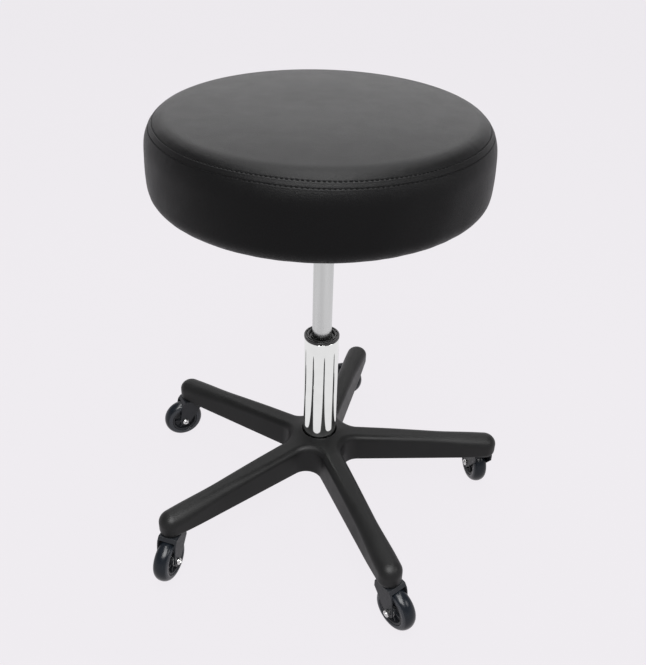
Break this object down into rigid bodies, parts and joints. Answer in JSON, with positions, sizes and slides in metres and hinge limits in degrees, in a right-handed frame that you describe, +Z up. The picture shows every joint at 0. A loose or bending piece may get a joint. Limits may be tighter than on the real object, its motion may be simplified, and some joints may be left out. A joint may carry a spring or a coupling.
{
  "type": "round swivel stool",
  "caption": "Backless round stool with a thick stitched cushion on a gas-lift column, a star base with rounded arms and single-wheel casters.",
  "frame": {"origin": "on the floor, on the column's axis", "axes": "+Z up along the column; -Y towards the viewer of the picture, +X to the viewer's right"},
  "size_m": [0.55, 0.5659, 0.6288],
  "materials": {
    "cover_leather": "fine-grained black leather-look cover, soft sheen",
    "foam": "cream polyurethane foam",
    "plywood": "plain birch plywood",
    "dust_cloth": "black non-woven cloth",
    "black_steel": "black powder coat, satin",
    "bright_steel": "zinc-bright steel",
    "black_plastic": "black moulded plastic",
    "chrome": "mirror chrome",
    "satin_steel": "satin light grey metal",
    "rubber": "black rubber",
    "black_nylon": "fine-textured black nylon",
    "axle_chrome": "bright plated",
    "smoke_tyre": "glossy dark smoke polyurethane"
  },
  "bodies": {
    "base": {"base": "black_nylon", "lift_tube": "chrome", "guide_bushing": "black_plastic", "bearing_lower_washer": "bright_steel", "bearing_ball_ring": "bright_steel", "caster_grip_ring_1": "bright_steel", "caster_grip_ring_2": "bright_steel", "caster_grip_ring_3": "bright_steel", "caster_grip_ring_4": "bright_steel", "caster_grip_ring_5": "bright_steel"},
    "lift_rod": {"piston_rod": "bright_steel", "bearing_upper_washer": "bright_steel", "rubber_bumper": "rubber", "rod_clip": "bright_steel"},
    "seat": {"gas_cylinder": "satin_steel", "seat_plate": "black_steel", "lever_pivot_pin": "bright_steel", "dust_cover": "dust_cloth", "seat_board": "plywood", "seat_foam": "foam", "seat_top_panel": "cover_leather", "seat_side_band": "cover_leather", "plate_screw_1": "bright_steel", "plate_screw_2": "bright_steel", "plate_screw_3": "bright_steel", "plate_screw_4": "bright_steel"},
    "lever": {"release_lever": "bright_steel", "lever_grip": "black_plastic"},
    "pin": {"release_pin": "bright_steel"},
    "caster_1": {"caster_fork_1": "black_plastic", "caster_stem_1": "bright_steel", "axle_bolt_1": "axle_chrome", "axle_nut_1": "axle_chrome"},
    "wheel_1": {"wheel_core_1": "black_plastic", "tyre_1": "smoke_tyre"},
    "caster_2": {"caster_fork_2": "black_plastic", "caster_stem_2": "bright_steel", "axle_bolt_2": "axle_chrome", "axle_nut_2": "axle_chrome"},
    "wheel_2": {"wheel_core_2": "black_plastic", "tyre_2": "smoke_tyre"},
    "caster_3": {"caster_fork_3": "black_plastic", "caster_stem_3": "bright_steel", "axle_bolt_3": "axle_chrome", "axle_nut_3": "axle_chrome"},
    "wheel_3": {"wheel_core_3": "black_plastic", "tyre_3": "smoke_tyre"},
    "caster_4": {"caster_fork_4": "black_plastic", "caster_stem_4": "bright_steel", "axle_bolt_4": "axle_chrome", "axle_nut_4": "axle_chrome"},
    "wheel_4": {"wheel_core_4": "black_plastic", "tyre_4": "smoke_tyre"},
    "caster_5": {"caster_fork_5": "black_plastic", "caster_stem_5": "bright_steel", "axle_bolt_5": "axle_chrome", "axle_nut_5": "axle_chrome"},
    "wheel_5": {"wheel_core_5": "black_plastic", "tyre_5": "smoke_tyre"}
  },
  "joints": [
    {"name": "seat_swivel", "type": "hinge", "parent": "base", "child": "lift_rod", "pos_m": [0, 0, 0.1], "axis": [0, 0, 1], "continuous": true},
    {"name": "seat_height", "type": "slide", "parent": "lift_rod", "child": "seat", "axis": [0, 0, 1], "range_m": [-0.14, 0]},
    {"name": "lever_lift", "type": "hinge", "parent": "seat", "child": "lever", "pos_m": [0.01131, 0.01131, 0.4965], "axis": [0.7071, -0.7071, 0], "range_deg": [0, 7], "stiffness_Nm_per_rad": 3, "springref_deg": -5.73},
    {"name": "pin_press", "type": "slide", "parent": "seat", "child": "pin", "axis": [0, 0, -1], "range_m": [0, 0.0028]},
    {"name": "caster_swivel_1", "type": "hinge", "parent": "base", "child": "caster_1", "pos_m": [0.26151, 0.01599, 0.083], "axis": [0, 0, 1], "continuous": true},
    {"name": "wheel_spin_1", "type": "hinge", "parent": "caster_1", "child": "wheel_1", "pos_m": [0.25701, 0.03548, 0.032], "axis": [-0.9744, -0.225, 0], "continuous": true},
    {"name": "caster_swivel_2", "type": "hinge", "parent": "base", "child": "caster_2", "pos_m": [0.0656, 0.25366, 0.083], "axis": [0, 0, 1], "continuous": true},
    {"name": "wheel_spin_2", "type": "hinge", "parent": "caster_2", "child": "wheel_2", "pos_m": [0.04628, 0.25883, 0.032], "axis": [-0.2588, -0.9659, 0], "continuous": true},
    {"name": "caster_swivel_3", "type": "hinge", "parent": "base", "child": "caster_3", "pos_m": [-0.22097, 0.14077, 0.083], "axis": [0, 0, 1], "continuous": true},
    {"name": "wheel_spin_3", "type": "hinge", "parent": "caster_3", "child": "wheel_3", "pos_m": [-0.23894, 0.13201, 0.032], "axis": [0.4384, -0.8988, 0], "continuous": true},
    {"name": "caster_swivel_4", "type": "hinge", "parent": "base", "child": "caster_4", "pos_m": [-0.20217, -0.16665, 0.083], "axis": [0, 0, 1], "continuous": true},
    {"name": "wheel_spin_4", "type": "hinge", "parent": "caster_4", "child": "wheel_4", "pos_m": [-0.20851, -0.18562, 0.032], "axis": [0.9483, -0.3173, 0], "continuous": true},
    {"name": "caster_swivel_5", "type": "hinge", "parent": "base", "child": "caster_5", "pos_m": [0.09602, -0.24377, 0.083], "axis": [0, 0, 1], "continuous": true},
    {"name": "wheel_spin_5", "type": "hinge", "parent": "caster_5", "child": "wheel_5", "pos_m": [0.10861, -0.25931, 0.032], "axis": [0.7771, 0.6293, 0], "continuous": true}
  ],
  "couplings": [
    {"joint": "pin_press", "follows": "lever_lift", "m_per_rad": 0.022}
  ]
}
